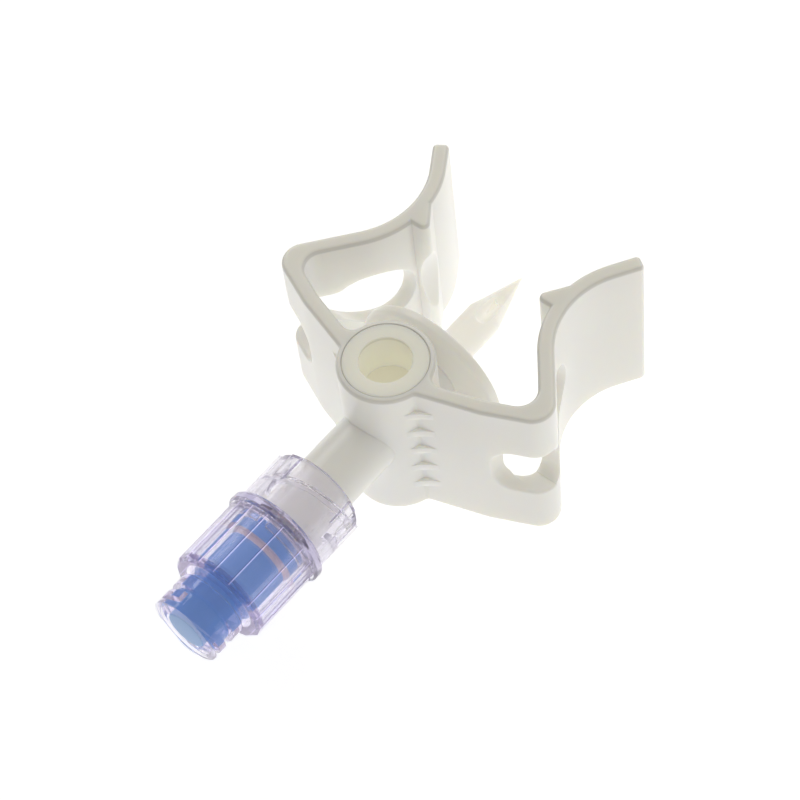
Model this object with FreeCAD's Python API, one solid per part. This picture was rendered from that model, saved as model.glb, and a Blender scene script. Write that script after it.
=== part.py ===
import FreeCAD, Part
import math
import os

from FreeCAD import Vector

# Vial spike with clip arms and a needle free valve.
# Millimetres. The origin is on the spike's axis, on the face of the stop disc that meets the vial.
# +Y runs along the spike into the vial, +X across the two arms, +Z out of the vent port.

# Strap: one band of moulded plastic that makes both arms
strap_top = 9.5
strap_bottom = -10.4
strap_wall = 1.76
front_run_start_y = -2.05
front_bend_x = 11.2
front_bend_y = 1.45
front_bend_radius = 8.0
corner_x = 17.27
corner_y = 4.17
corner_outer_radius = 2.35
corner_inner_radius = 1.95
waist_x = 7.5
waist_y = 16.15
waist_bend_radius = 10.0
flare_tip_x = 13.2
flare_tip_y = 25.1
flare_tip_round = 0.5
rim_round = 0.5

# Barbs that hold the vial's cap
barb_catch_y = 15.1
barb_nose_x = 6.7
barb_back_x = 9.0
barb_back_y = 18.35
barb_nose_round = 0.7
neck_clearance_radius = 8.65

# Slot through each arm
window_radius = 4.0
window_y = 10.85
window_blend_radius = 1.5
slot_neck_height = 4.5
slot_front_height = 6.3
slot_front_x = 12.15
slot_end_round = 2.2
slot_step_y = 5.5
slot_step_run = 1.2
slot_step_round = 1.0
slot_edge_round = 0.35

# Hub, at the strap's own y = 0
hub_radius = 5.1
hub_to_disc_face = 7.0
outer_valley_round = 0.6
inner_valley_round = 1.2

# Grip fins in the two valleys in front of the hub
fin_count = 5
fin_pitch = 3.1
fin_thickness = 0.9
fin_hub_angle = 31.7
fin_plate_x = 6.65
fin_hollow = 0.15
fin_middle = -0.1

# Vent port in the top of the hub
vent_head_radius = 4.5
vent_head_height = 1.0
vent_body_radius = 4.0
vent_bore_radius = 2.78
vent_depth = 5.0
vent_fit = 0.02
vent_edge_round = 0.15
filter_thickness = 0.3
filter_edge_gap = 0.15
chamber_radius = 3.4
chamber_depth = 1.1

# Stop disc and spike
disc_radius = 8.84
disc_thickness = 1.3
disc_rim_round = 0.45
boss_radius = 3.6
spike_radius = 2.0
spike_shank_length = 8.0
spike_cone_length = 6.4
spike_tip_radius = 0.08
fluid_lumen_radius = 0.65
vent_lumen_radius = 0.4
lumen_offset = 0.85
fluid_lumen_reach = 3.0
vent_lumen_reach = 1.9
flute_radius = 0.98
flute_depth = 0.45
flute_start = 6.35
flute_length_share = 0.8
flute_turn = 20.0

# Stem: the female luer that carries the valve
stem_radius = 3.37
stem_end = 17.4
luer_mouth_radius = 2.15
luer_taper = 0.03
luer_socket_depth = 8.2
stem_ear_radius = 3.9
stem_ear_length = 1.0
stem_ear_width = 4.2

# Valve base: locking collar, flange, male luer and the lip that joins the housing
collar_mouth = 11.7
collar_bore_radius = 4.1
collar_grip_radius = 5.12
collar_band_radius = 5.38
collar_band_start = 14.9
collar_band_slope = 0.4
collar_rib_count = 8
collar_rib_width = 1.3
collar_edge_round = 0.3
collar_floor_gap = 0.2
collar_thread_crest_radius = 3.6
collar_thread_lead = 5.0
collar_thread_start = 15.5
collar_thread_turns = 0.55
collar_thread_width = 0.5
flange_radius = 5.87
flange_start = 18.0
flange_end = 19.2
flange_edge_round = 0.25
male_luer_length = 7.6
male_luer_fit = 0.02
base_duct_radius = 0.95
lip_wall = 0.45
lip_length = 0.8
post_radius = 1.7
post_length = 1.6
channel_width = 0.9
channel_depth = 0.5

# Valve housing: faceted barrel and threaded female luer neck
barrel_corner_radius = 5.46
barrel_end = 27.5
barrel_bore_radius = 4.22
barrel_end_wall = 1.2
barrel_end_chamfer = 0.3
wide_flat_angle = 31.5
wide_flat_place = 49.15
narrow_flats_each_side = 7
neck_radius = 3.36
neck_end = 32.1
neck_bore_radius = 2.25
neck_mouth_chamfer = 0.15
neck_ring_start = 28.1
neck_ring_end = 29.5
neck_thread_radius = 3.97
neck_thread_lead = 2.8
neck_thread_width = 0.86
neck_thread_leaves_end_at = -48.0
neck_thread_run_in = 0.25
neck_thread_turns = 0.57
thread_flank = 0.22
thread_sink = 0.2

# Valve piston: one soft plug that closes the neck and springs back
piston_fit = 0.03
piston_body_radius = 3.65
piston_skirt_radius = 4.0
piston_skirt_end = 21.3
piston_groove_end = 21.9
piston_groove_radius = 3.4
piston_shoulder_gap = 0.05
piston_shoulder_slope = 0.5
piston_cavity_radius = 2.5
piston_cavity_depth = 5.0
piston_edge_round = 0.2

hub_y = -hub_to_disc_face
strap_height = strap_top - strap_bottom
strap_middle = (strap_top + strap_bottom) / 2
X_AXIS = Vector(1, 0, 0)
Y_AXIS = Vector(0, 1, 0)
Z_AXIS = Vector(0, 0, 1)
CENTRE = Vector(0, 0, 0)
FULL_TURN = 360.0


def from_hub(distance):
    """The y of a place given by its distance from the hub's axis, towards the valve."""
    return hub_y - distance


def unit(vector):
    return Vector(vector).normalize()


def left_of(direction):
    return Vector(-direction.y, direction.x, 0)


def bent_path(points, radii, offset):
    """Edges of a path with rounded corners in the XY plane, shifted sideways to the left."""
    runs = [unit(b - a) for a, b in zip(points, points[1:])]
    start = points[0] + left_of(runs[0]) * offset
    edges = []
    for corner, radius, before, after in zip(points[1:], radii, runs, runs[1:]):
        turn = math.atan2(before.cross(after).z, before.dot(after))
        side = math.copysign(1.0, turn)
        tangent = radius * math.tan(abs(turn) / 2)
        bend_centre = corner - before * tangent + left_of(before) * side * radius
        bend_radius = radius - side * offset
        arc_start = bend_centre - left_of(before) * side * bend_radius
        arc_end = bend_centre - left_of(after) * side * bend_radius
        arc_middle = bend_centre - unit(left_of(before) + left_of(after)) * side * bend_radius
        edges.append(Part.LineSegment(start, arc_start).toShape())
        edges.append(Part.Arc(arc_start, arc_middle, arc_end).toShape())
        start = arc_end
    end = points[-1] + left_of(runs[-1]) * offset
    edges.append(Part.LineSegment(start, end).toShape())
    return edges, end


def prism(edges, low, high):
    """A closed outline in the XY plane raised from one height to another."""
    wire = Part.Wire(Part.__sortEdges__(edges))
    face = Part.Face(wire)
    face.translate(Vector(0, 0, low))
    return face.extrude(Vector(0, 0, high - low))


def polygon_edges(points):
    return Part.makePolygon(points + [points[0]]).Edges


def turned(profile):
    """A solid of revolution about the spike's axis, from (radius, y) corners."""
    points = [Vector(radius, y, 0) for radius, y in profile]
    return Part.Face(Part.makePolygon(points + [points[0]])).revolve(CENTRE, Y_AXIS, FULL_TURN)


def rod(radius, start_y, end_y, x=0.0, z=0.0):
    """A cylinder along the spike's axis."""
    return Part.makeCylinder(radius, end_y - start_y, Vector(x, start_y, z), Y_AXIS)


def both_sides(shape):
    return [shape, shape.mirror(CENTRE, X_AXIS)]


def upright_edges(shape, spots, reach):
    """Full height edges along Z that stand within reach of any of the given spots."""
    found = []
    for edge in shape.Edges:
        box = edge.BoundBox
        is_upright = box.ZLength > 0.9 * strap_height and box.XLength + box.YLength < 0.01
        if is_upright and any(math.hypot(box.XMin - s.x, box.YMin - s.y) < reach for s in spots):
            found.append(edge)
    return found


def rim_edges(shape):
    """Edges that lie in the top or bottom plane of the strap."""
    found = []
    for edge in shape.Edges:
        box = edge.BoundBox
        if box.ZLength < 0.001 and min(abs(box.ZMin - strap_top), abs(box.ZMin - strap_bottom)) < 0.001:
            found.append(edge)
    return found


def ridge(root_radius, crest_radius, crest_width, lead, turns, first_angle, start_y):
    """A right hand thread ridge about the spike's axis, rising towards +Y."""
    outward = math.copysign(1.0, crest_radius - root_radius)
    base_radius = root_radius - outward * thread_sink
    base_half = crest_width / 2 + thread_flank
    crest_half = crest_width / 2
    helix = Part.makeHelix(lead, lead * turns, root_radius)
    profile = Part.makePolygon([
        Vector(base_radius, 0, -base_half),
        Vector(crest_radius, 0, -crest_half),
        Vector(crest_radius, 0, crest_half),
        Vector(base_radius, 0, base_half),
        Vector(base_radius, 0, -base_half),
    ])
    solid = Part.Wire([helix]).makePipeShell([profile], True, True)
    solid.rotate(CENTRE, X_AXIS, -90)
    solid.rotate(CENTRE, Y_AXIS, -first_angle)
    solid.translate(Vector(0, start_y, 0))
    return solid


def strap_path():
    """Corners of the right arm's middle line, seen along Z."""
    return [
        Vector(0, hub_y + front_run_start_y, 0),
        Vector(front_bend_x, hub_y + front_bend_y, 0),
        Vector(corner_x, hub_y + corner_y, 0),
        Vector(waist_x, hub_y + waist_y, 0),
        Vector(flare_tip_x, hub_y + flare_tip_y, 0),
    ]


def strap_outline():
    """The right arm seen along Z: front run, corner, side run and flare."""
    path = strap_path()
    half_wall = strap_wall / 2
    outer_radii = [front_bend_radius, corner_outer_radius - half_wall, waist_bend_radius]
    inner_radii = [front_bend_radius, corner_inner_radius + half_wall, waist_bend_radius]
    outer, outer_end = bent_path(path, outer_radii, -half_wall)
    inner, inner_end = bent_path(path, inner_radii, half_wall)
    tip = Part.LineSegment(outer_end, inner_end).toShape()
    root = Part.LineSegment(outer[0].Vertexes[0].Point, inner[0].Vertexes[0].Point).toShape()
    return outer + [tip] + inner + [root]


def front_run_face(side, at_x):
    """The point with a given x on one face of the front run: side -1 is outer, +1 is inner."""
    start, end = strap_path()[:2]
    along = unit(end - start)
    shifted = start + left_of(along) * side * strap_wall / 2
    return shifted + along * ((at_x - shifted.x) / along.x)


def valley_spot(side):
    """Where one face of the front run runs into the hub."""
    start, end = strap_path()[:2]
    along = unit(end - start)
    face_distance = (Vector(0, hub_y, 0) - start).dot(left_of(along)) - side * strap_wall / 2
    reach = math.sqrt(hub_radius ** 2 - face_distance ** 2)
    return Vector(0, hub_y, 0) - left_of(along) * face_distance + along * reach


def barb():
    """Wedge that catches the vial's cap, hollowed where the vial's neck passes."""
    sunk_x = barb_back_x + strap_wall / 3
    path = [
        Vector(sunk_x, hub_y + barb_catch_y, 0),
        Vector(barb_nose_x, hub_y + barb_catch_y, 0),
        Vector(barb_back_x, hub_y + barb_back_y, 0),
        Vector(sunk_x, hub_y + barb_back_y, 0),
    ]
    edges, end = bent_path(path[:3], [barb_nose_round], 0.0)
    edges.append(Part.LineSegment(end, path[3]).toShape())
    edges.append(Part.LineSegment(path[3], path[0]).toShape())
    return prism(edges, strap_bottom, strap_top)


def vial_neck():
    """Room for the vial's neck, taken out of both barbs."""
    return rod(neck_clearance_radius, hub_y + barb_catch_y - 1, hub_y + barb_back_y + 1)


def front_slot_edges(shape):
    """Edges where the tall front ends of both slots break through the outer faces of the arms."""
    radii = [front_bend_radius, corner_outer_radius - strap_wall / 2, waist_bend_radius]
    outer = Part.Wire(bent_path(strap_path(), radii, -strap_wall / 2)[0])
    step_y = hub_y + slot_step_y - slot_step_run / 2
    found = []
    for edge in shape.Edges:
        middle = edge.valueAt((edge.FirstParameter + edge.LastParameter) / 2)
        in_slot = abs(middle.z - strap_middle) < slot_front_height / 2 + 0.01
        if not in_slot or edge.BoundBox.YMax > step_y + 0.01 or edge.Length < slot_edge_round / 2:
            continue
        ends = [Vector(abs(v.X), v.Y, 0) for v in edge.Vertexes] + [Vector(abs(middle.x), middle.y, 0)]
        if all(Part.Vertex(point).distToShape(outer)[0] < 0.01 for point in ends):
            found.append(edge)
    return found


def slot_cutter():
    """The rear of the slot in the right arm: a narrow neck that opens into a round window."""
    front = slot_front_height / 2
    neck = slot_neck_height / 2
    centre_y = hub_y + window_y
    blend_z = neck + window_blend_radius
    blend_y = centre_y - math.sqrt((window_radius + window_blend_radius) ** 2 - blend_z ** 2)
    step_y = hub_y + slot_step_y
    start = Vector(step_y - 2 * slot_step_run, front, 0)
    path = [
        start,
        Vector(step_y - slot_step_run / 2, front, 0),
        Vector(step_y + slot_step_run / 2, neck, 0),
        Vector(blend_y, neck, 0),
    ]
    edges, end = bent_path(path, [slot_step_round, slot_step_round], 0.0)
    touch = Vector(centre_y, 0, 0) + unit(Vector(blend_y - centre_y, blend_z, 0)) * window_radius
    middle_angle = unit(unit(touch - Vector(blend_y, blend_z, 0)) + Vector(0, -1, 0))
    middle = Vector(blend_y, blend_z, 0) + middle_angle * window_blend_radius
    top = Vector(centre_y, window_radius, 0)
    far = Vector(centre_y + window_radius, 0, 0)
    window_middle = Vector(centre_y, 0, 0) + unit(unit(touch - Vector(centre_y, 0, 0)) + Y_AXIS) * window_radius
    far_middle = Vector(centre_y, 0, 0) + unit(X_AXIS + Y_AXIS) * window_radius
    edges.append(Part.Arc(end, middle, touch).toShape())
    edges.append(Part.Arc(touch, window_middle, top).toShape())
    edges.append(Part.Arc(top, far_middle, far).toShape())
    edges.append(Part.LineSegment(far, Vector(start.x, 0, 0)).toShape())
    edges.append(Part.LineSegment(Vector(start.x, 0, 0), start).toShape())
    inside_x = hub_radius + strap_wall
    outside_x = corner_x + 2 * strap_wall
    half = prism(edges, inside_x, outside_x)
    cutter = half.fuse([half.mirror(CENTRE, Y_AXIS)]).removeSplitter()
    # The profile was drawn with y along X and z along Y: a turn about (1, 1, 1) puts it upright.
    cutter.rotate(CENTRE, Vector(1, 1, 1), 120)
    cutter.translate(Vector(0, 0, strap_middle))
    return cutter


def front_slot_cutter():
    """The tall front end of the slot, with a rounded end, cut along the spike's axis."""
    length = corner_x + 2 * strap_wall - slot_front_x
    depth = slot_step_y - slot_step_run / 2 + 2 * strap_wall
    low_corner = Vector(slot_front_x, hub_y - 2 * strap_wall, strap_middle - slot_front_height / 2)
    box = Part.makeBox(length, depth, slot_front_height, low_corner)
    ends = []
    for edge in box.Edges:
        bounds = edge.BoundBox
        if bounds.YLength > 0.9 * depth and bounds.XMax < slot_front_x + 0.01:
            ends.append(edge)
    return box.makeFillet(slot_end_round, ends)


def fins():
    """Thin webs that bridge the valley between the hub and the front run of the right arm."""
    angle = math.radians(-fin_hub_angle)
    hub_direction = Vector(math.cos(angle), math.sin(angle), 0)
    hub_point = Vector(0, hub_y, 0) + hub_direction * hub_radius
    plate_point = front_run_face(-1, fin_plate_x)
    chord = plate_point - hub_point
    hollow = (hub_point + plate_point) * 0.5 + left_of(unit(chord)) * fin_hollow
    hub_anchor = hub_point - hub_direction * strap_wall
    plate_anchor = plate_point + left_of(unit(chord)) * strap_wall / 2
    edges = [
        Part.Arc(hub_point, hollow, plate_point).toShape(),
        Part.LineSegment(plate_point, plate_anchor).toShape(),
        Part.LineSegment(plate_anchor, hub_anchor).toShape(),
        Part.LineSegment(hub_anchor, hub_point).toShape(),
    ]
    webs = []
    for index in range(fin_count):
        middle = fin_middle + (index - (fin_count - 1) / 2) * fin_pitch
        webs.append(prism(edges, middle - fin_thickness / 2, middle + fin_thickness / 2))
    return webs


def spike():
    """Shank and cone on the spike's axis, from inside the hub to the tip."""
    cone_y = spike_shank_length
    tip_y = cone_y + spike_cone_length
    return turned([
        (0, hub_y),
        (spike_radius, hub_y),
        (spike_radius, cone_y),
        (spike_tip_radius, tip_y),
        (0, tip_y + spike_tip_radius),
    ])


def stop_disc():
    """Disc that the vial's cap comes to rest against, on a short boss."""
    disc = rod(disc_radius, -disc_thickness, 0)
    rims = [edge for edge in disc.Edges if edge.BoundBox.YLength < 0.001]
    disc = disc.makeFillet(disc_rim_round, rims)
    return disc.fuse([rod(boss_radius, hub_y, -disc_thickness / 2)])


def stem():
    """Round stem with two ears that lock behind the collar's thread."""
    end_y = from_hub(stem_end)
    shaft = rod(stem_radius, end_y, hub_y)
    ear_disc = rod(stem_ear_radius, end_y, end_y + stem_ear_length)
    ear_bar = Part.makeBox(
        2 * stem_ear_radius, stem_ear_length, stem_ear_width,
        Vector(-stem_ear_radius, end_y, -stem_ear_width / 2))
    return shaft.fuse([ear_disc.common(ear_bar)])


def luer_cone(mouth_radius, mouth_y, end_y):
    """A luer taper that narrows from its mouth towards the spike."""
    end_radius = mouth_radius - luer_taper * (end_y - mouth_y)
    return Part.makeCone(mouth_radius, end_radius, end_y - mouth_y, Vector(0, mouth_y, 0), Y_AXIS)


def vent_pocket():
    """Stepped pocket in the top of the hub: ring seat, filter seat, air chamber."""
    top = strap_top
    filter_top = top - vent_depth
    filter_low = filter_top - filter_thickness
    chamber_low = filter_low - chamber_depth
    steps = [
        (vent_head_radius, top - vent_head_height, top + 1),
        (vent_body_radius, filter_low, top),
        (chamber_radius, chamber_low, top),
        (vent_lumen_radius, lumen_offset, top),
    ]
    pocket = [Part.makeCylinder(r, high - low, Vector(0, hub_y, low), Z_AXIS) for r, low, high in steps]
    pocket[-1].translate(Vector(lumen_offset * math.sin(math.radians(flute_turn)), 0, 0))
    return pocket


def lumens():
    """Air lumen above and fluid lumen below, each opening in its own flute."""
    socket_y = from_hub(stem_end)
    socket_end_y = socket_y + luer_socket_depth
    air = rod(vent_lumen_radius, hub_y, spike_shank_length + vent_lumen_reach, z=lumen_offset)
    fluid = rod(fluid_lumen_radius, socket_end_y - 1, spike_shank_length + fluid_lumen_reach, z=-lumen_offset)
    cutters = [air, fluid, flute(1), flute(-1)]
    for cutter in cutters:
        cutter.rotate(CENTRE, Y_AXIS, flute_turn)
    return cutters + [luer_cone(luer_mouth_radius, socket_y, socket_end_y)]


def flute(side):
    """Round nosed cutter for the flute in one side of the spike: from the shank to near the tip."""
    start_floor = spike_radius - flute_depth
    run = spike_shank_length + spike_cone_length * flute_length_share - flute_start
    end_floor = spike_radius + (spike_tip_radius - spike_radius) * flute_length_share
    # The ball that scoops out the start just clears the shank.
    surface = spike_radius - start_floor - flute_radius
    nose_y = flute_start + math.sqrt(flute_radius ** 2 - surface ** 2)
    slope = (end_floor - start_floor) / run
    start = Vector(0, nose_y, start_floor + flute_radius + slope * (nose_y - flute_start))
    along = unit(Vector(0, 1, slope))
    cutter = Part.makeCylinder(flute_radius, 1.5 * run, start, along)
    cutter = cutter.fuse([Part.makeSphere(flute_radius, start)])
    return cutter if side > 0 else cutter.mirror(CENTRE, Z_AXIS)


def make_clip_body():
    """The white moulding: hub, arms, stop disc, spike and female luer stem."""
    arm = prism(strap_outline(), strap_bottom, strap_top)
    tip_edges = upright_edges(arm, [strap_path()[-1]], strap_wall)
    arm = arm.makeFillet(flare_tip_round, tip_edges)
    hub = Part.makeCylinder(hub_radius, strap_height, Vector(0, hub_y, strap_bottom), Z_AXIS)
    body = hub.fuse(both_sides(arm) + both_sides(barb())).removeSplitter()
    outer_spots = both_spots(valley_spot(-1))
    inner_spots = both_spots(valley_spot(1))
    body = body.makeFillet(outer_valley_round, upright_edges(body, outer_spots, 0.5))
    body = body.makeFillet(inner_valley_round, upright_edges(body, inner_spots, 0.5))
    body = body.makeFillet(rim_round, rim_edges(body))
    slots = both_sides(slot_cutter()) + both_sides(front_slot_cutter())
    body = body.cut(slots + [vial_neck()]).removeSplitter()
    body = body.makeFillet(slot_edge_round, front_slot_edges(body))
    webs = [piece for web in fins() for piece in both_sides(web)]
    body = body.fuse(webs + [spike(), stop_disc(), stem()])
    body = body.cut(vent_pocket() + lumens())
    return body.removeSplitter()


def both_spots(spot):
    return [spot, Vector(-spot.x, spot.y, spot.z)]


def make_vent_ring():
    """Insert that holds the filter down and forms the open vent port."""
    top = strap_top
    head_low = top - vent_head_height
    low = top - vent_depth
    head = Part.makeCylinder(
        vent_head_radius - vent_fit, vent_head_height, Vector(0, hub_y, head_low), Z_AXIS)
    shank = Part.makeCylinder(
        vent_body_radius - vent_fit, vent_depth, Vector(0, hub_y, low), Z_AXIS)
    ring = head.fuse([shank]).removeSplitter()
    rims = [e for e in ring.Edges if e.BoundBox.ZLength < 0.001 and e.BoundBox.ZMax > top - 0.001]
    ring = ring.makeFillet(vent_edge_round, rims)
    bore = Part.makeCylinder(vent_bore_radius, vent_depth, Vector(0, hub_y, low), Z_AXIS)
    return ring.cut([bore])


def make_vent_filter():
    """Membrane disc that lies between the ring and the ledge over the air chamber."""
    low = strap_top - vent_depth - filter_thickness
    radius = vent_body_radius - filter_edge_gap
    return Part.makeCylinder(radius, filter_thickness, Vector(0, hub_y, low), Z_AXIS)


def make_valve_base():
    """Clear base: collar, flange, male luer cone, and the lip and post inside the housing."""
    mouth_y = from_hub(collar_mouth)
    floor_y = from_hub(stem_end + collar_floor_gap)
    end_y = from_hub(flange_end)
    band_y = from_hub(collar_band_start)
    flange_y = from_hub(flange_start)
    lip_radius = barrel_bore_radius - male_luer_fit
    shell = turned([
        (0, end_y),
        (flange_radius - flange_edge_round, end_y),
        (flange_radius, end_y + flange_edge_round),
        (flange_radius, flange_y - flange_edge_round),
        (flange_radius - flange_edge_round, flange_y),
        (collar_band_radius, flange_y),
        (collar_band_radius, band_y - collar_band_slope),
        (collar_grip_radius, band_y),
        (collar_grip_radius, mouth_y - collar_edge_round),
        (collar_grip_radius - collar_edge_round, mouth_y),
        (collar_bore_radius + collar_edge_round, mouth_y),
        (collar_bore_radius, mouth_y - collar_edge_round),
        (collar_bore_radius, floor_y),
        (0, floor_y),
    ])
    rib_length = mouth_y - collar_edge_round - band_y
    rib_disc = rod(collar_band_radius, band_y - collar_band_slope, band_y + rib_length)
    rib_core = rod(collar_bore_radius + collar_edge_round, band_y - 1, mouth_y + 1)
    ribs = []
    for index in range(collar_rib_count):
        bar = Part.makeBox(
            flange_radius, rib_length + collar_band_slope, collar_rib_width,
            Vector(0, band_y - collar_band_slope, -collar_rib_width / 2))
        bar.rotate(CENTRE, Y_AXIS, (index + 0.5) * FULL_TURN / collar_rib_count)
        ribs.append(bar.common(rib_disc).cut(rib_core))
    socket_y = from_hub(stem_end)
    tip_y = socket_y + male_luer_length
    cone_radius = luer_mouth_radius - male_luer_fit + luer_taper * (socket_y - floor_y)
    cone = luer_cone(cone_radius, floor_y, tip_y)
    lip = rod(lip_radius, end_y - lip_length, end_y).cut(
        [rod(lip_radius - lip_wall, end_y - lip_length, end_y)])
    post = rod(post_radius, end_y - post_length, end_y)
    base = shell.fuse(ribs + [cone, lip, post])
    channels = []
    for turn in (0, 90):
        channel = Part.makeBox(
            2 * lip_radius, lip_length + channel_depth, channel_width,
            Vector(-lip_radius, end_y - lip_length, -channel_width / 2))
        channel.rotate(CENTRE, Y_AXIS, turn)
        channels.append(channel)
    base = base.cut(channels + [rod(base_duct_radius, end_y - post_length, tip_y)])
    threads = []
    for turn in (0, 180):
        threads.append(ridge(
            collar_bore_radius, collar_thread_crest_radius, collar_thread_width,
            collar_thread_lead, collar_thread_turns, turn, from_hub(collar_thread_start)))
    return base.fuse(threads).removeSplitter()


def barrel_corners():
    """Corner directions of the barrel: one wide flat and seven narrow ones, twice round."""
    narrow = (FULL_TURN / 2 - wide_flat_angle) / narrow_flats_each_side
    corners = []
    for half in (0, FULL_TURN / 2):
        first = half + wide_flat_place + wide_flat_angle / 2
        corners += [first + index * narrow for index in range(narrow_flats_each_side + 1)]
    return [math.radians(corner) for corner in corners]


def barrel_outline(radius, at_y):
    points = [Vector(radius * math.cos(a), at_y, radius * math.sin(a)) for a in barrel_corners()]
    return Part.makePolygon(points + [points[0]])


def make_valve_housing():
    """Clear housing: faceted barrel, then a female luer neck with a ring and two threads."""
    joint_y = from_hub(flange_end)
    barrel_y = from_hub(barrel_end)
    end_y = from_hub(neck_end)
    straight_y = barrel_y + barrel_end_chamfer
    barrel = Part.Face(barrel_outline(barrel_corner_radius, joint_y)).extrude(
        Vector(0, straight_y - joint_y, 0))
    slope = Part.makeLoft([
        barrel_outline(barrel_corner_radius, straight_y),
        barrel_outline(barrel_corner_radius - barrel_end_chamfer, barrel_y),
    ], True, True)
    neck = rod(neck_radius, end_y, straight_y)
    ring = rod(neck_thread_radius, from_hub(neck_ring_end), from_hub(neck_ring_start))
    housing = barrel.fuse([slope, neck, ring])
    run_in = neck_thread_run_in
    slab = rod(2 * neck_thread_radius, end_y, straight_y)
    threads = []
    for turn in (0, 180):
        raw = ridge(
            neck_radius, neck_thread_radius, neck_thread_width, neck_thread_lead,
            run_in + neck_thread_turns, turn + neck_thread_leaves_end_at - FULL_TURN * run_in,
            end_y - neck_thread_lead * run_in)
        threads.append(raw.common(slab))
    housing = housing.fuse(threads)
    bore_end_y = barrel_y + barrel_end_wall
    mouth = Part.makeCone(
        neck_bore_radius + neck_mouth_chamfer, neck_bore_radius, neck_mouth_chamfer,
        Vector(0, end_y, 0), Y_AXIS)
    bores = [rod(barrel_bore_radius, bore_end_y, joint_y), rod(neck_bore_radius, end_y, joint_y), mouth]
    return housing.cut(bores).removeSplitter()


def make_valve_piston():
    """Blue plug: flat swab face, neck plug, body, groove, skirt and a hollow that lets it fold."""
    seat_y = from_hub(flange_end) - piston_shoulder_gap
    lip_end_y = from_hub(flange_end + lip_length) - piston_shoulder_gap
    skirt_y = from_hub(piston_skirt_end)
    groove_y = from_hub(piston_groove_end)
    shoulder_y = from_hub(barrel_end - barrel_end_wall) + piston_shoulder_gap
    face_y = from_hub(neck_end)
    plug_radius = neck_bore_radius - piston_fit
    cavity_y = seat_y - piston_cavity_depth
    return turned([
        (piston_cavity_radius, seat_y),
        (piston_body_radius, seat_y),
        (piston_body_radius, lip_end_y),
        (piston_skirt_radius, lip_end_y),
        (piston_skirt_radius, skirt_y),
        (piston_groove_radius, skirt_y),
        (piston_groove_radius, groove_y),
        (piston_body_radius, groove_y),
        (piston_body_radius, shoulder_y + piston_shoulder_slope),
        (piston_body_radius - piston_shoulder_slope, shoulder_y),
        (plug_radius, shoulder_y),
        (plug_radius, face_y + piston_edge_round),
        (plug_radius - piston_edge_round, face_y),
        (0, face_y),
        (0, cavity_y - piston_cavity_radius / 2),
        (piston_cavity_radius, cavity_y),
    ])


os.makedirs("parts", exist_ok=True)
clip_body = make_clip_body()
vent_ring = make_vent_ring()
vent_filter = make_vent_filter()
valve_base = make_valve_base()
valve_housing = make_valve_housing()
valve_piston = make_valve_piston()

clip_body.exportStep("parts/clip_body.step")
vent_ring.exportStep("parts/vent_ring.step")
vent_filter.exportStep("parts/vent_filter.step")
valve_base.exportStep("parts/valve_base.step")
valve_housing.exportStep("parts/valve_housing.step")
valve_piston.exportStep("parts/valve_piston.step")
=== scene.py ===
# %% [markdown]
# # A vented vial spike with a needle free valve
# A white moulding holds a medicine vial between two springy arms and pierces its stopper with a spike.
# A small valve of clear plastic is screwed on the other end, with a blue silicone piston inside.
# The shapes come from a CAD frame in metres, so this lesson is mostly about finishes: moulded plastic,
# clear plastic that bends light, soft silicone, and the light that makes white parts readable on white.

# %% Load the frame
import math

import bmesh
import bpy
from mathutils import Matrix, Vector


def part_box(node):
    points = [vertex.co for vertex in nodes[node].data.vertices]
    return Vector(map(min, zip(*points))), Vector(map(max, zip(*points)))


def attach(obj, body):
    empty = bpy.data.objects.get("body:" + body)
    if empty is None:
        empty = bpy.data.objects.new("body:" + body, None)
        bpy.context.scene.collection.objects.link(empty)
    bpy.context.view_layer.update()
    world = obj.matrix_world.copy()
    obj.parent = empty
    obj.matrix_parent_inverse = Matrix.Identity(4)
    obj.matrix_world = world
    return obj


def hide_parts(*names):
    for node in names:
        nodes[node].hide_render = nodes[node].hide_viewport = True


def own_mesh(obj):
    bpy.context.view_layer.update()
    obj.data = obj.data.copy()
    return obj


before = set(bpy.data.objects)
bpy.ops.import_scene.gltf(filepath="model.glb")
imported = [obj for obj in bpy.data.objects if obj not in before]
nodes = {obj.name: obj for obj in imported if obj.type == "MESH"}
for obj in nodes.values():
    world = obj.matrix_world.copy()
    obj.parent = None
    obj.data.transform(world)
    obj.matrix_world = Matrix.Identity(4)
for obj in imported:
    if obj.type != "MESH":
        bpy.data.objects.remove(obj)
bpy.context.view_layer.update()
print("CAD nodes:", ", ".join(sorted(nodes)))

# %% [markdown]
# ## Places to build on
# The places below are worked out from the boxes of the CAD nodes, so the dressing follows the part.
# The vent ring gives the hub's axis and its top, and the valve's pieces give the places along its axis.

# %% Places read from the frame
MM = 0.001
ring_low, ring_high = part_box("vent_ring")
piston_low, piston_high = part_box("valve_piston")
clip_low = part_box("clip_body")[0]

hub_y = (ring_low.y + ring_high.y) / 2
hub_top = ring_high.z
floor_z = clip_low.z
face_y = piston_low.y
seat_y = piston_high.y
joint_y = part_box("valve_housing")[1].y
print(f"hub axis at y {hub_y / MM:.2f} mm, valve from {face_y / MM:.2f} to {joint_y / MM:.2f} mm")

# %% [markdown]
# ## The camera
# The photograph was taken from above the left of the valve, from about a quarter of a metre.
# A camera is easiest to place by the way it faces: turn it round the upright axis, tip it down,
# roll it a little, and then step back from the point that it looks at.

# %% Camera at the photograph's angle
view_turn = math.radians(46.203)
view_height = math.radians(55.45)
view_roll = math.radians(-8.038)
view_distance = 268.04 * MM
view_centre = Vector((3.084 * MM, hub_y - 1.737 * MM, hub_top - 2.361 * MM))
lens_length = 120.62
film_width = 36.0
nearest_seen = 10 * MM
farthest_seen = 10000 * MM

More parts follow.
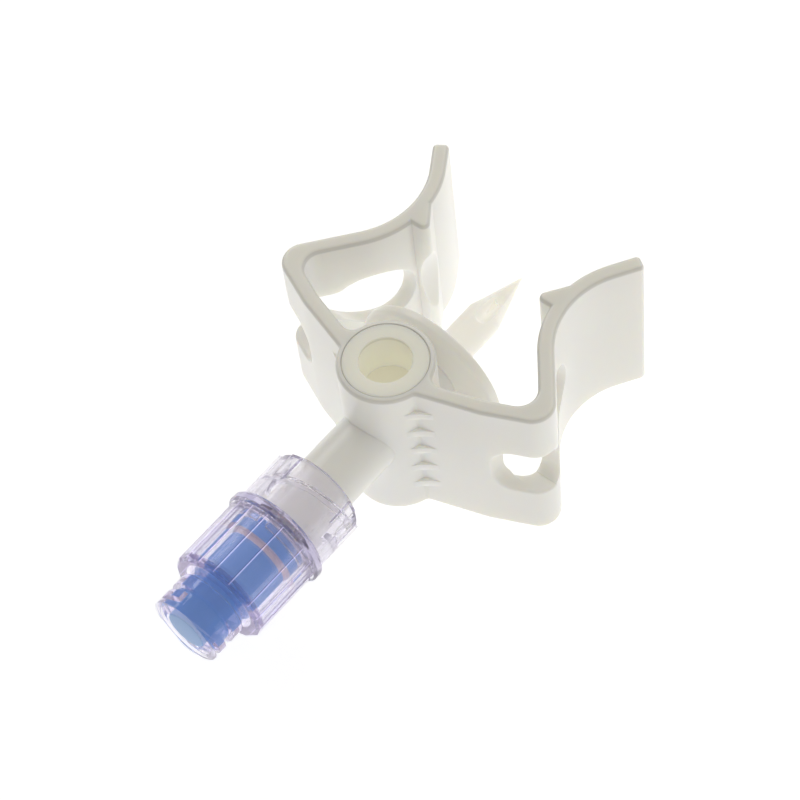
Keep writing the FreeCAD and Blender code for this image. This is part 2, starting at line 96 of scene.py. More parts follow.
turn = Matrix.Rotation(view_turn, 4, "Z")
tip = Matrix.Rotation(math.pi / 2 - view_height, 4, "X")
roll = Matrix.Rotation(view_roll, 4, "Z")
facing = turn @ tip @ roll
step_back = facing.to_3x3() @ Vector((0, 0, view_distance))

camera_data = bpy.data.cameras.new("camera")
camera_data.lens = lens_length
camera_data.sensor_width = film_width
camera_data.clip_start = nearest_seen
camera_data.clip_end = farthest_seen
camera = bpy.data.objects.new("camera", camera_data)
bpy.context.scene.collection.objects.link(camera)
camera.matrix_world = Matrix.Translation(view_centre + step_back) @ facing
bpy.context.scene.camera = camera
bpy.context.scene.view_settings.view_transform = "Standard"
print("camera stands at", [round(value / MM, 1) for value in camera.location], "mm")

# %% [markdown]
# ## The floor and the light
# A white part on a white ground is read by its shades alone, so the light has to be uneven but soft.
# The world is a tent that is bright behind the part and overhead, and dim on the camera's side. Its
# colour goes from cool at the bottom to warm at the top. The floor glows, so it stays white and lights
# the undersides.

# %% Floor
floor_half = 1.2
floor_shade = (0.80, 0.80, 0.80)
floor_roughness = 0.9
floor_gloss = 0.1
floor_glow = 0.65
floor_mesh = bpy.data.meshes.new("floor")
floor_corners = [(-1, -1), (1, -1), (1, 1), (-1, 1)]
floor_points = [(x * floor_half, y * floor_half, floor_z) for x, y in floor_corners]
floor_mesh.from_pydata(floor_points, [], [(0, 1, 2, 3)])
floor = bpy.data.objects.new("floor", floor_mesh)
bpy.context.scene.collection.objects.link(floor)


def new_material(name):
    """An empty node material: its tree and its output node."""
    material = bpy.data.materials.new(name)
    material.use_nodes = True
    tree = material.node_tree
    tree.nodes.clear()
    output = tree.nodes.new("ShaderNodeOutputMaterial")
    return material, tree, output


def add(tree, kind, **settings):
    """A node of a kind, with its own settings."""
    node = tree.nodes.new(kind)
    for key, value in settings.items():
        setattr(node, key, value)
    return node


floor_material, tree, output = new_material("pale floor")
floor_shader = add(tree, "ShaderNodeBsdfPrincipled")
floor_shader.inputs["Base Color"].default_value = (*floor_shade, 1)
floor_shader.inputs["Roughness"].default_value = floor_roughness
floor_shader.inputs["Specular IOR Level"].default_value = floor_gloss
floor_shader.inputs["Emission Color"].default_value = (1, 1, 1, 1)
floor_shader.inputs["Emission Strength"].default_value = floor_glow
tree.links.new(floor_shader.outputs["BSDF"], output.inputs["Surface"])
floor_mesh.materials.append(floor_material)

# %% Light tent
world = bpy.data.worlds.new("light tent")
world.use_nodes = True
bpy.context.scene.world = world
tree = world.node_tree
tree.nodes.clear()
sky_direction = add(tree, "ShaderNodeTexCoord")
sky_parts = add(tree, "ShaderNodeSeparateXYZ")
sky_shades = add(tree, "ShaderNodeValToRGB")
sky_light = add(tree, "ShaderNodeBackground")
sky_output = add(tree, "ShaderNodeOutputWorld")
cool_low = (0.74, 0.74, 0.77)
pale_middle = (0.95, 0.94, 0.90)
warm_top = (0.95, 0.91, 0.79)
middle_height = 0.4
bright_side = (0.22, 0.93, 0.62)
middle_light = 0.41
side_light = 0.28
sky_shades.color_ramp.elements[0].position = 0.0
sky_shades.color_ramp.elements[0].color = (*cool_low, 1)
sky_shades.color_ramp.elements[1].position = 1.0
sky_shades.color_ramp.elements[1].color = (*warm_top, 1)
sky_middle = sky_shades.color_ramp.elements.new(middle_height)
sky_middle.color = (*pale_middle, 1)
sky_side = add(tree, "ShaderNodeVectorMath", operation="DOT_PRODUCT")
sky_side.inputs[1].default_value = bright_side
sky_strength = add(tree, "ShaderNodeMath", operation="MULTIPLY_ADD")
sky_strength.inputs[1].default_value = side_light
sky_strength.inputs[2].default_value = middle_light
tree.links.new(sky_direction.outputs["Generated"], sky_side.inputs[0])
tree.links.new(sky_side.outputs["Value"], sky_strength.inputs[0])
tree.links.new(sky_strength.outputs["Value"], sky_light.inputs["Strength"])
tree.links.new(sky_direction.outputs["Generated"], sky_parts.inputs["Vector"])
tree.links.new(sky_parts.outputs["Z"], sky_shades.inputs["Fac"])
tree.links.new(sky_shades.outputs["Color"], sky_light.inputs["Color"])
tree.links.new(sky_light.outputs["Background"], sky_output.inputs["Surface"])


def soft_lamp(name, place, size, power):
    """A square area lamp that faces the part."""
    data = bpy.data.lights.new(name, "AREA")
    data.shape = "SQUARE"
    data.size = size
    data.energy = power
    lamp = bpy.data.objects.new(name, data)
    bpy.context.scene.collection.objects.link(lamp)
    lamp.location = place
    lamp.rotation_euler = (view_centre - Vector(place)).to_track_quat("-Z", "Y").to_euler()


streak_place = (-0.42, 0.23, 0.36)
streak_size = 0.20
streak_power = 0.35
soft_lamp("streak lamp", streak_place, streak_size, streak_power)

# %% [markdown]
# ## Shared finish: the skin of moulded plastic
# Injection moulded plastic is never perfectly even. It has a slow waviness from cooling, a very fine
# grain from the tool, and a faint change of shade. This group gives those three, from the place on the
# part, so that every plastic piece can use it with its own sizes and strengths.

# %% Node group for a moulded skin
CELLS_PER_METRE = 1.0 / MM
WAVE_DETAIL = 1.0
GRAIN_DETAIL = 2.0
BEVEL_SAMPLES = 6


def new_group(name, inputs, outputs):
    """A shader node group with named inputs and outputs."""
    group = bpy.data.node_groups.new(name, "ShaderNodeTree")
    for socket_name, socket_type, value in inputs:
        socket = group.interface.new_socket(name=socket_name, in_out="INPUT", socket_type=socket_type)
        if value is not None:
            socket.default_value = value
    for socket_name, socket_type in outputs:
        group.interface.new_socket(name=socket_name, in_out="OUTPUT", socket_type=socket_type)
    return group, add(group, "NodeGroupInput"), add(group, "NodeGroupOutput")


def maths(tree, operation, first, second=None, third=None):
    """A math node fed by sockets or plain numbers; gives back its result socket."""
    node = add(tree, "ShaderNodeMath", operation=operation)
    for socket, value in zip(node.inputs, (first, second, third)):
        if value is None:
            continue
        if isinstance(value, (int, float)):
            socket.default_value = value
        else:
            tree.links.new(value, socket)
    return node.outputs[0]


skin, skin_in, skin_out = new_group(
    "moulded skin",
    [("Place", "NodeSocketVector", None), ("Wave size", "NodeSocketFloat", 4.0),
     ("Wave height", "NodeSocketFloat", 0.6), ("Grain size", "NodeSocketFloat", 0.12),
     ("Grain height", "NodeSocketFloat", 0.05)],
    [("Shade", "NodeSocketFloat"), ("Height", "NodeSocketFloat")])


def noise(tree, place, size_in_mm, detail):
    """Smooth noise whose patches are about the given size, in millimetres."""
    node = add(tree, "ShaderNodeTexNoise")
    node.inputs["Detail"].default_value = detail
    tree.links.new(place, node.inputs["Vector"])
    tree.links.new(maths(tree, "DIVIDE", CELLS_PER_METRE, size_in_mm), node.inputs["Scale"])
    return node.outputs["Fac"]


wave = noise(skin, skin_in.outputs["Place"], skin_in.outputs["Wave size"], WAVE_DETAIL)
grain = noise(skin, skin_in.outputs["Place"], skin_in.outputs["Grain size"], GRAIN_DETAIL)
wave_height = maths(skin, "MULTIPLY", wave, skin_in.outputs["Wave height"])
skin_height = maths(skin, "MULTIPLY_ADD", grain, skin_in.outputs["Grain height"], wave_height)
skin.links.new(wave, skin_out.inputs["Shade"])
skin.links.new(skin_height, skin_out.inputs["Height"])


def place_on_part(tree):
    """The place on the piece, in its own coordinates."""
    return add(tree, "ShaderNodeTexCoord").outputs["Object"]


def add_skin(tree, place, **values):
    """The skin group in a material, with its sizes and heights in millimetres."""
    node = add(tree, "ShaderNodeGroup", node_tree=skin)
    tree.links.new(place, node.inputs["Place"])
    for key, value in values.items():
        node.inputs[key.replace("_", " ")].default_value = value
    return node


def between(tree, mask, low, high):
    """Colour that goes from one to another with a mask."""
    node = add(tree, "ShaderNodeMix", data_type="RGBA")
    node.inputs["A"].default_value = (*low, 1)
    node.inputs["B"].default_value = (*high, 1)
    tree.links.new(mask, node.inputs["Factor"])
    return node.outputs["Result"]


def towards(tree, mask, colour, end):
    """A colour socket that goes towards a plain colour with a mask."""
    node = add(tree, "ShaderNodeMix", data_type="RGBA")
    tree.links.new(colour, node.inputs["A"])
    node.inputs["B"].default_value = (*end, 1)
    tree.links.new(mask, node.inputs["Factor"])
    return node.outputs["Result"]


def span(tree, mask, low, high):
    """Number that goes from low to high with a mask."""
    node = add(tree, "ShaderNodeMapRange")
    node.inputs["To Min"].default_value = low
    node.inputs["To Max"].default_value = high
    tree.links.new(mask, node.inputs["Value"])
    return node.outputs["Result"]


def bumps(tree, height, strength, distance, edge_round):
    """Normal with the skin's bumps on it, softened over a small round at every edge."""
    soft_edge = add(tree, "ShaderNodeBevel", samples=BEVEL_SAMPLES)
    soft_edge.inputs["Radius"].default_value = edge_round
    node = add(tree, "ShaderNodeBump")
    tree.links.new(soft_edge.outputs["Normal"], node.inputs["Normal"])
    node.inputs["Strength"].default_value = strength
    node.inputs["Distance"].default_value = distance
    tree.links.new(height, node.inputs["Height"])
    return node.outputs["Normal"]


# %% [markdown]
# ## White moulding
# The clip is one shot of a stiff white plastic with a glossy skin. Light goes one or two
# millimetres into it, which is what keeps its shadows warm instead of grey. Subsurface scattering
# gives that, with a faint painted glow that stands in for the light that has crossed the whole wall,
# and the skin group changes the shade and the gloss over the surface.
#
# Two more groups work from the place on the part. The round of every upper rim gets a painted shade,
# a little darker, and a fine dark line runs round the hub where the ring is pressed in. The spike is
# thin, so a painted glow on it stands in for the extra light that crosses it.

# %% White moulding material
RIM_ROUND = 0.5 * MM
RIM_START = 1.1 * RIM_ROUND
RIM_FULL = 0.6 * RIM_ROUND
RIM_FADE = 0.25 * RIM_ROUND
RIM_END = 0.01 * RIM_ROUND
# Painted shade: the round of the upper rim is darkened to this share.
RIM_PAINTED_SHADE = 0.78
GROOVE_RADIUS = 4.49 * MM
GROOVE_HALF_WIDTH = 0.09 * MM
GROOVE_SHADE = 0.62
SPIKE_REACH = 2.5 * MM
SPIKE_GLOW = 0.14
HUB_TO_DISC = 7.0 * MM


def ramp_between(tree, value, start, end):
    """0 before the start, 1 after the end, smooth in between; start may be the larger."""
    node = add(tree, "ShaderNodeMapRange", interpolation_type="SMOOTHSTEP")
    flipped = start > end
    node.inputs["From Min"].default_value = min(start, end)
    node.inputs["From Max"].default_value = max(start, end)
    node.inputs["To Min"].default_value = 1.0 if flipped else 0.0
    node.inputs["To Max"].default_value = 0.0 if flipped else 1.0
    tree.links.new(value, node.inputs["Value"])
    return node.outputs["Result"]


painted_rim_shade_and_groove, rim_in, rim_out = new_group(
    "painted rim shade and groove line", [("Place", "NodeSocketVector", None)], [("Shade", "NodeSocketFloat")])
rim_parts = add(painted_rim_shade_and_groove, "ShaderNodeSeparateXYZ")
painted_rim_shade_and_groove.links.new(rim_in.outputs["Place"], rim_parts.inputs["Vector"])
rim_z = rim_parts.outputs["Z"]
# Painted shade: a band over the round of the upper rim is made darker, where shade falls on it.
rim_rise = ramp_between(painted_rim_shade_and_groove, rim_z, hub_top - RIM_START, hub_top - RIM_FULL)
rim_fall = ramp_between(painted_rim_shade_and_groove, rim_z, hub_top - RIM_END, hub_top - RIM_FADE)
rim_painted_shade_band = maths(painted_rim_shade_and_groove, "MULTIPLY", rim_rise, rim_fall)
hub_place = add(painted_rim_shade_and_groove, "ShaderNodeVectorMath", operation="SUBTRACT")
hub_place.inputs[1].default_value = (0, hub_y, 0)
painted_rim_shade_and_groove.links.new(rim_in.outputs["Place"], hub_place.inputs[0])
hub_flat = add(painted_rim_shade_and_groove, "ShaderNodeVectorMath", operation="MULTIPLY")
hub_flat.inputs[1].default_value = (1, 1, 0)
painted_rim_shade_and_groove.links.new(hub_place.outputs["Vector"], hub_flat.inputs[0])
hub_reach = add(painted_rim_shade_and_groove, "ShaderNodeVectorMath", operation="LENGTH")
painted_rim_shade_and_groove.links.new(hub_flat.outputs["Vector"], hub_reach.inputs[0])
groove_gap = maths(painted_rim_shade_and_groove, "SUBTRACT", hub_reach.outputs["Value"], GROOVE_RADIUS)
from_groove = maths(painted_rim_shade_and_groove, "ABSOLUTE", groove_gap)
groove_line = ramp_between(painted_rim_shade_and_groove, from_groove, GROOVE_HALF_WIDTH, GROOVE_HALF_WIDTH / 3)
on_top = ramp_between(painted_rim_shade_and_groove, rim_z, hub_top - RIM_ROUND, hub_top - RIM_ROUND / 2)
rim_painted_shade_amount = maths(painted_rim_shade_and_groove, "MULTIPLY_ADD", rim_painted_shade_band, RIM_PAINTED_SHADE - 1, 1.0)
groove_on_top = maths(painted_rim_shade_and_groove, "MULTIPLY", groove_line, on_top)
groove_amount = maths(painted_rim_shade_and_groove, "MULTIPLY_ADD", groove_on_top, GROOVE_SHADE - 1, 1.0)
painted_rim_shade_and_groove_line = maths(painted_rim_shade_and_groove, "MULTIPLY", rim_painted_shade_amount, groove_amount)
painted_rim_shade_and_groove.links.new(painted_rim_shade_and_groove_line, rim_out.inputs["Shade"])


# Painted glow: a mask for the thin spike, where the plastic is made to glow more.
spike_painted_glow, spike_in, spike_out = new_group(
    "spike painted glow", [("Place", "NodeSocketVector", None)], [("Amount", "NodeSocketFloat")])
spike_parts = add(spike_painted_glow, "ShaderNodeSeparateXYZ")
spike_painted_glow.links.new(spike_in.outputs["Place"], spike_parts.inputs["Vector"])
from_axis = maths(spike_painted_glow, "ABSOLUTE", spike_parts.outputs["X"])
on_spike = ramp_between(spike_painted_glow, from_axis, 1.5 * SPIKE_REACH, SPIKE_REACH)
disc_y = hub_y + HUB_TO_DISC
past_disc = ramp_between(spike_painted_glow, spike_parts.outputs["Y"], disc_y, disc_y + SPIKE_REACH)
spike_painted_glow.links.new(maths(spike_painted_glow, "MULTIPLY", on_spike, past_disc), spike_out.inputs["Amount"])


PLASTIC_IOR = 1.5
PLASTIC_SCATTER = 0.8
PLASTIC_DEPTH = 1.5 * MM
WARM_SCATTER = (1.0, 0.85, 0.55)
WARM_GLOW = (1.0, 0.95, 0.87)
PLASTIC_EDGE = 0.15 * MM
PLASTIC_BUMP = 0.15
PLASTIC_BUMP_HEIGHT = 0.05 * MM


def white_plastic(name, dark, light, roughness, glow):
    """White plastic between two shades, with a span of roughness, a painted rim shade, and a faint painted
    glow that is brighter on the spike.
    """
    material, tree, output = new_material(name)
    place = place_on_part(tree)
    # Painted rim shade, together with the dark groove line round the hub.
    edges = add(tree, "ShaderNodeGroup", node_tree=painted_rim_shade_and_groove)
    tree.links.new(place, edges.inputs["Place"])
    surface = add_skin(tree, place, Wave_size=9.0, Wave_height=0.5, Grain_size=0.15, Grain_height=0.02)
    shader = add(tree, "ShaderNodeBsdfPrincipled")
    shader.inputs["IOR"].default_value = PLASTIC_IOR
    shader.inputs["Subsurface Weight"].default_value = PLASTIC_SCATTER
    shader.inputs["Subsurface Radius"].default_value = WARM_SCATTER
    shader.inputs["Subsurface Scale"].default_value = PLASTIC_DEPTH
    shader.inputs["Emission Color"].default_value = (*WARM_GLOW, 1)
    # Painted glow over the whole piece, and more on the spike, for the light that crosses the plastic.
    thin = add(tree, "ShaderNodeGroup", node_tree=spike_painted_glow)
    tree.links.new(place, thin.inputs["Place"])
    crossed = maths(tree, "MULTIPLY_ADD", thin.outputs["Amount"], SPIKE_GLOW, glow)
    tree.links.new(crossed, shader.inputs["Emission Strength"])
    tone_with_painted_rim_shade = add(tree, "ShaderNodeMix", data_type="RGBA", blend_type="MULTIPLY")
    tone_with_painted_rim_shade.inputs["Factor"].default_value = 1.0
    tree.links.new(between(tree, surface.outputs["Shade"], dark, light), tone_with_painted_rim_shade.inputs["A"])
    tree.links.new(edges.outputs["Shade"], tone_with_painted_rim_shade.inputs["B"])
    tree.links.new(tone_with_painted_rim_shade.outputs["Result"], shader.inputs["Base Color"])
    tree.links.new(span(tree, surface.outputs["Shade"], *roughness), shader.inputs["Roughness"])
    skin_normal = bumps(tree, surface.outputs["Height"], PLASTIC_BUMP, PLASTIC_BUMP_HEIGHT, PLASTIC_EDGE)
    tree.links.new(skin_normal, shader.inputs["Normal"])
    tree.links.new(shader.outputs["BSDF"], output.inputs["Surface"])
    return material


clip_white = white_plastic(
    "white moulding", dark=(0.775, 0.78, 0.765), light=(0.795, 0.80, 0.785),
    roughness=(0.27, 0.32), glow=0.11)
ring_white = white_plastic(
    "vent ring plastic", dark=(0.91, 0.91, 0.82), light=(0.95, 0.95, 0.86),
    roughness=(0.28, 0.38), glow=0.10)

# %% [markdown]
# ## Filter membrane
# The disc behind the vent port is a paper thin porous membrane. It is matt, slightly yellow beside
# the plastic, and has a fibrous grain that shows only close up.

# %% Membrane material
membrane_dark = (0.90, 0.88, 0.74)
membrane_light = (0.96, 0.94, 0.82)
membrane_roughness = (0.75, 0.95)
membrane_gloss = 0.2
# Painted glow: the membrane glows faintly, which lightens its shade.
membrane_glow_shade = (1.0, 0.95, 0.80)
membrane_glow = 0.08
fibre_bump = 0.6
fibre_height = 0.03 * MM
fibre_edge = 0.02 * MM

membrane, tree, output = new_material("filter membrane")
place = place_on_part(tree)
fibres = add_skin(tree, place, Wave_size=1.2, Wave_height=0.3, Grain_size=0.08, Grain_height=1.0)
shader = add(tree, "ShaderNodeBsdfPrincipled")
shader.inputs["Specular IOR Level"].default_value = membrane_gloss
shader.inputs["Emission Color"].default_value = (*membrane_glow_shade, 1)
shader.inputs["Emission Strength"].default_value = membrane_glow
fibre_shade = between(tree, fibres.outputs["Height"], membrane_dark, membrane_light)
tree.links.new(fibre_shade, shader.inputs["Base Color"])
tree.links.new(span(tree, fibres.outputs["Shade"], *membrane_roughness), shader.inputs["Roughness"])
fibre_normal = bumps(tree, fibres.outputs["Height"], fibre_bump, fibre_height, fibre_edge)
tree.links.new(fibre_normal, shader.inputs["Normal"])
tree.links.new(shader.outputs["BSDF"], output.inputs["Surface"])

# %% [markdown]
# ## Painted lines along the barrel's corners
# The barrel has one wide flat and seven narrow ones, twice round. Light bending at each corner between
# them draws a dark line beside a light one, and here both are painted: a painted dark line and a
# painted highlight. This group finds both lines from the place alone: it folds the angle round the axis
# into half a turn, takes the nearest corner, and measures how far the place is from it along the surface.

# %% Node group for the painted corner lines
BARREL_CORNER_RADIUS = 5.46 * MM
FIRST_CORNER = math.radians(64.9)
WIDE_FLAT = math.radians(31.5)
LAST_CORNER_NUMBER = 7
CORNER_STEP = (math.pi - WIDE_FLAT) / LAST_CORNER_NUMBER
BARREL_STARTS = 0.97 * BARREL_CORNER_RADIUS
BARREL_FULL = 0.985 * BARREL_CORNER_RADIUS
CORNER_LINE = 0.05 * MM
LINE_FADE = (1.2 * CORNER_LINE, 0.6 * CORNER_LINE)

barrel_painted_lines, barrel_in, barrel_out = new_group(
    "barrel painted corner lines", [("Place", "NodeSocketVector", None)],
    [("Painted dark line", "NodeSocketFloat"), ("Painted highlight line", "NodeSocketFloat")])
barrel_parts = add(barrel_painted_lines, "ShaderNodeSeparateXYZ")
barrel_painted_lines.links.new(barrel_in.outputs["Place"], barrel_parts.inputs["Vector"])
across = barrel_parts.outputs["X"]
upright = barrel_parts.outputs["Z"]

angle = maths(barrel_painted_lines, "ARCTAN2", upright, across)
around = maths(barrel_painted_lines, "SUBTRACT", angle, FIRST_CORNER)
half_turn = maths(barrel_painted_lines, "WRAP", around, math.pi, 0.0)
nearest = maths(barrel_painted_lines, "ROUND", maths(barrel_painted_lines, "DIVIDE", half_turn, CORNER_STEP))
corner_number = maths(barrel_painted_lines, "MINIMUM", nearest, LAST_CORNER_NUMBER)
corner_angle = maths(barrel_painted_lines, "MULTIPLY", corner_number, CORNER_STEP)
past_corner = maths(barrel_painted_lines, "SUBTRACT", half_turn, corner_angle)

# Past the middle of the wide flat, the next half's first corner is the nearer one.
past_next = maths(barrel_painted_lines, "SUBTRACT", half_turn, math.pi)
next_is_nearer = maths(barrel_painted_lines, "LESS_THAN", maths(barrel_painted_lines, "ABSOLUTE", past_next),
                       maths(barrel_painted_lines, "ABSOLUTE", past_corner))
difference = maths(barrel_painted_lines, "SUBTRACT", past_next, past_corner)
offset = maths(barrel_painted_lines, "MULTIPLY_ADD", next_is_nearer, difference, past_corner)
side_step = maths(barrel_painted_lines, "MULTIPLY", offset, BARREL_CORNER_RADIUS)

upright_squared = maths(barrel_painted_lines, "MULTIPLY", upright, upright)
reach = maths(barrel_painted_lines, "SQRT", maths(barrel_painted_lines, "MULTIPLY_ADD", across, across, upright_squared))
on_barrel = ramp_between(barrel_painted_lines, reach, BARREL_STARTS, BARREL_FULL)
for socket_name, shift in (("Painted dark line", CORNER_LINE), ("Painted highlight line", -CORNER_LINE)):
    from_line = maths(barrel_painted_lines, "ABSOLUTE", maths(barrel_painted_lines, "SUBTRACT", side_step, shift))
    line = ramp_between(barrel_painted_lines, from_line, *LINE_FADE)
    masked = maths(barrel_painted_lines, "MULTIPLY", line, on_barrel)
    barrel_painted_lines.links.new(masked, barrel_out.inputs[socket_name])

# %% [markdown]
# ## Clear plastic
# The valve's body is a tough clear plastic with a faint violet tint. The tint comes from the depth of
# plastic that the light crosses, so it sits in the volume and not on the surface: thin walls look
# clear and edges look violet. Shadow rays pass straight through, because a path tracer would
# otherwise leave whatever is inside the clear body in the dark. A small share of every other ray does
# so too, and a trace of painted violet glow on every surface stands in for the light trapped between
# the walls.

# %% Clear plastic material
STRAIGHT_THROUGH = 0.12
STRAIGHT_TINT = (0.94, 0.93, 0.96)
CLEAR_IOR = 1.5
CLEAR_GLOW = 0.02
CLEAR_GLOW_SHADE = (0.80, 0.72, 1.0)
CLEAR_EDGE = 0.08 * MM
CLEAR_BUMP = 0.15
CLEAR_BUMP_HEIGHT = 0.03 * MM
# Painted highlight strength and painted dark shade of the barrel's corner lines.
CORNER_PAINTED_HIGHLIGHT = 0.55
CLEAR_SHADE = (1.0, 1.0, 1.0)
CORNER_PAINTED_DARK_SHADE = (0.30, 0.25, 0.48)


def clear_plastic(name, tint, depth_of_tint, roughness, painted_corner_lines):
    """Clear plastic with a tint in its depth, a trace of painted glow, and the barrel's painted corner
    lines where they are wanted.
    """
    material, tree, output = new_material(name)
    place = place_on_part(tree)
    surface = add_skin(tree, place, Wave_size=3.0, Wave_height=1.0, Grain_size=0.4, Grain_height=0.1)
    glass = add(tree, "ShaderNodeBsdfPrincipled")
    glass.inputs["Base Color"].default_value = (*CLEAR_SHADE, 1)
    glass.inputs["Transmission Weight"].default_value = 1.0
    glass.inputs["IOR"].default_value = CLEAR_IOR
    # Painted glow: a trace of violet glow on every surface of the clear plastic.
    glass.inputs["Emission Color"].default_value = (*CLEAR_GLOW_SHADE, 1)
    glass.inputs["Emission Strength"].default_value = CLEAR_GLOW
    # Painted dark line and painted highlight along each corner of the barrel.
    if painted_corner_lines:
        corners = add(tree, "ShaderNodeGroup", node_tree=barrel_painted_lines)
        tree.links.new(place, corners.inputs["Place"])
        painted_line_shade = between(tree, corners.outputs["Painted dark line"], CLEAR_SHADE, CORNER_PAINTED_DARK_SHADE)
        tree.links.new(painted_line_shade, glass.inputs["Base Color"])
        painted_highlight_glow = maths(tree, "MULTIPLY_ADD", corners.outputs["Painted highlight line"], CORNER_PAINTED_HIGHLIGHT, CLEAR_GLOW)
        tree.links.new(painted_highlight_glow, glass.inputs["Emission Strength"])
    tree.links.new(span(tree, surface.outputs["Shade"], *roughness), glass.inputs["Roughness"])
    skin_normal = bumps(tree, surface.outputs["Height"], CLEAR_BUMP, CLEAR_BUMP_HEIGHT, CLEAR_EDGE)
    tree.links.new(skin_normal, glass.inputs["Normal"])

    through = add(tree, "ShaderNodeBsdfTransparent")
    through.inputs["Color"].default_value = (*STRAIGHT_TINT, 1)
    ray = add(tree, "ShaderNodeLightPath")
    choice = add(tree, "ShaderNodeMixShader")
    straight = maths(tree, "MAXIMUM", ray.outputs["Is Shadow Ray"], STRAIGHT_THROUGH)
    tree.links.new(straight, choice.inputs["Fac"])
    tree.links.new(glass.outputs["BSDF"], choice.inputs[1])
    tree.links.new(through.outputs["BSDF"], choice.inputs[2])
    tree.links.new(choice.outputs["Shader"], output.inputs["Surface"])

    absorb = add(tree, "ShaderNodeVolumeAbsorption")
    absorb.inputs["Color"].default_value = (*tint, 1)
    absorb.inputs["Density"].default_value = depth_of_tint
    tree.links.new(absorb.outputs["Volume"], output.inputs["Volume"])
    return material


clear_housing = clear_plastic(
    "clear housing", tint=(0.70, 0.60, 0.88), depth_of_tint=120.0,
    roughness=(0.01, 0.04), painted_corner_lines=True)
clear_base = clear_plastic(
    "clear base", tint=(0.66, 0.62, 0.78), depth_of_tint=150.0,
    roughness=(0.01, 0.05), painted_corner_lines=False)

# %% [markdown]
# ## Blue silicone
# The piston is a soft blue silicone rubber, satin rather than glossy. Silicone scatters light under
# its skin, so the blue stays lively in the shade, helped by a faint painted glow. The bottom of its
# groove shows as a pale line, and the swab face carries a painted sheen that makes it paler than the sides.

# %% Silicone material
groove_low_y = face_y + 10.2 * MM
groove_high_y = face_y + 10.8 * MM
groove_fade = 0.05 * MM
groove_shade = (0.80, 0.70, 0.76)
face_fade = 0.2 * MM
face_depth = 0.02 * MM
# Painted sheen: the paler colour of the swab face.
swab_face_painted_sheen = (0.34, 0.50, 0.82)
silicone_dark = (0.13, 0.34, 0.80)
silicone_light = (0.18, 0.41, 0.88)
silicone_roughness = (0.38, 0.52)
silicone_ior = 1.41
silicone_scatter = 0.2
silicone_reach = (0.3, 0.6, 1.0)
silicone_depth = 0.5 * MM
silicone_glow_shade = (0.25, 0.42, 0.85)
silicone_glow = 0.03
silicone_bump = 0.3
silicone_bump_height = 0.02 * MM
silicone_edge = 0.1 * MM

silicone, tree, output = new_material("blue silicone")
place = place_on_part(tree)
surface = add_skin(tree, place, Wave_size=2.0, Wave_height=0.6, Grain_size=0.1, Grain_height=0.2)
shader = add(tree, "ShaderNodeBsdfPrincipled")
shader.inputs["IOR"].default_value = silicone_ior
shader.inputs["Subsurface Weight"].default_value = silicone_scatter
shader.inputs["Subsurface Radius"].default_value = silicone_reach
shader.inputs["Subsurface Scale"].default_value = silicone_depth
# Painted glow: a faint blue glow keeps the silicone bright in shade.
shader.inputs["Emission Color"].default_value = (*silicone_glow_shade, 1)
shader.inputs["Emission Strength"].default_value = silicone_glow

along = add(tree, "ShaderNodeSeparateXYZ")
tree.links.new(place, along.inputs["Vector"])
band_start = ramp_between(tree, along.outputs["Y"], groove_low_y - groove_fade, groove_low_y)
band_end = ramp_between(tree, along.outputs["Y"], groove_high_y + groove_fade, groove_high_y)
band = maths(tree, "MULTIPLY", band_start, band_end)
blue = between(tree, surface.outputs["Shade"], silicone_dark, silicone_light)
banded = towards(tree, band, blue, groove_shade)
# Painted sheen: the swab face is made paler, for the soft reflection on it.
swab_face_sheen_mask = ramp_between(tree, along.outputs["Y"], face_y + face_fade, face_y + face_depth)
tree.links.new(towards(tree, swab_face_sheen_mask, banded, swab_face_painted_sheen), shader.inputs["Base Color"])
tree.links.new(span(tree, surface.outputs["Shade"], *silicone_roughness), shader.inputs["Roughness"])
silicone_normal = bumps(tree, surface.outputs["Height"], silicone_bump, silicone_bump_height, silicone_edge)
tree.links.new(silicone_normal, shader.inputs["Normal"])
tree.links.new(shader.outputs["BSDF"], output.inputs["Surface"])

# %% Finishes on the CAD nodes
finishes = {
    "clip_body": clip_white,
    "vent_ring": ring_white,
    "vent_filter": membrane,
    "valve_base": clear_base,
    "valve_housing": clear_housing,
}
for name, material in finishes.items():
    nodes[name].data.materials.clear()
    nodes[name].data.materials.append(material)
print("finished nodes:", ", ".join(finishes))

# %% [markdown]
# ## The piston
# The piston is one soft turned shape: a plug that fills the neck, a body that stands free of the
# barrel's wall, a groove, a skirt, and a hollow that lets it fold when a syringe pushes it in.
# A shape like that is a profile turned about its axis, with small roundings at every corner, because a
# rubber mould has no sharp edges. A Geometry Nodes tree does the turning: it sweeps the profile round a
# circle so small that the sweep is a turn about the axis, and then welds the points on the axis.

# %% Piston profile
neck_bore = 2.25 * MM
press_depth = 0.01 * MM
plug_radius = neck_bore + press_depth
body_radius = 3.65 * MM
skirt_radius = piston_high.x
groove_radius = 3.4 * MM
cavity_radius = 2.5 * MM
cavity_depth = 5.0 * MM
cavity_point = 1.25 * MM
shoulder_y = face_y + 5.85 * MM
shoulder_slope = 0.5 * MM
lip_y = seat_y - 0.8 * MM
fine = 0.1 * MM
soft = 0.25 * MM
corner_steps = 4


def rounded(points, roundings):
    """Corners of a profile, each cut by a short arc of its own radius."""
    made = []
    for index, (point, radius) in enumerate(zip(points, roundings)):
        if radius == 0.0:
            made.append(point)
            continue
        before = (points[index - 1] - point).normalized()
        after = (points[index + 1] - point).normalized()
        half_angle = before.angle(after) / 2
        reach = radius / math.tan(half_angle)
        centre = point + (before + after).normalized() * (radius / math.sin(half_angle))
        first = point + before * reach - centre
        last = point + after * reach - centre
        for step in range(corner_steps + 1):
            made.append(centre + first.slerp(last, step / corner_steps) * radius)
    return made


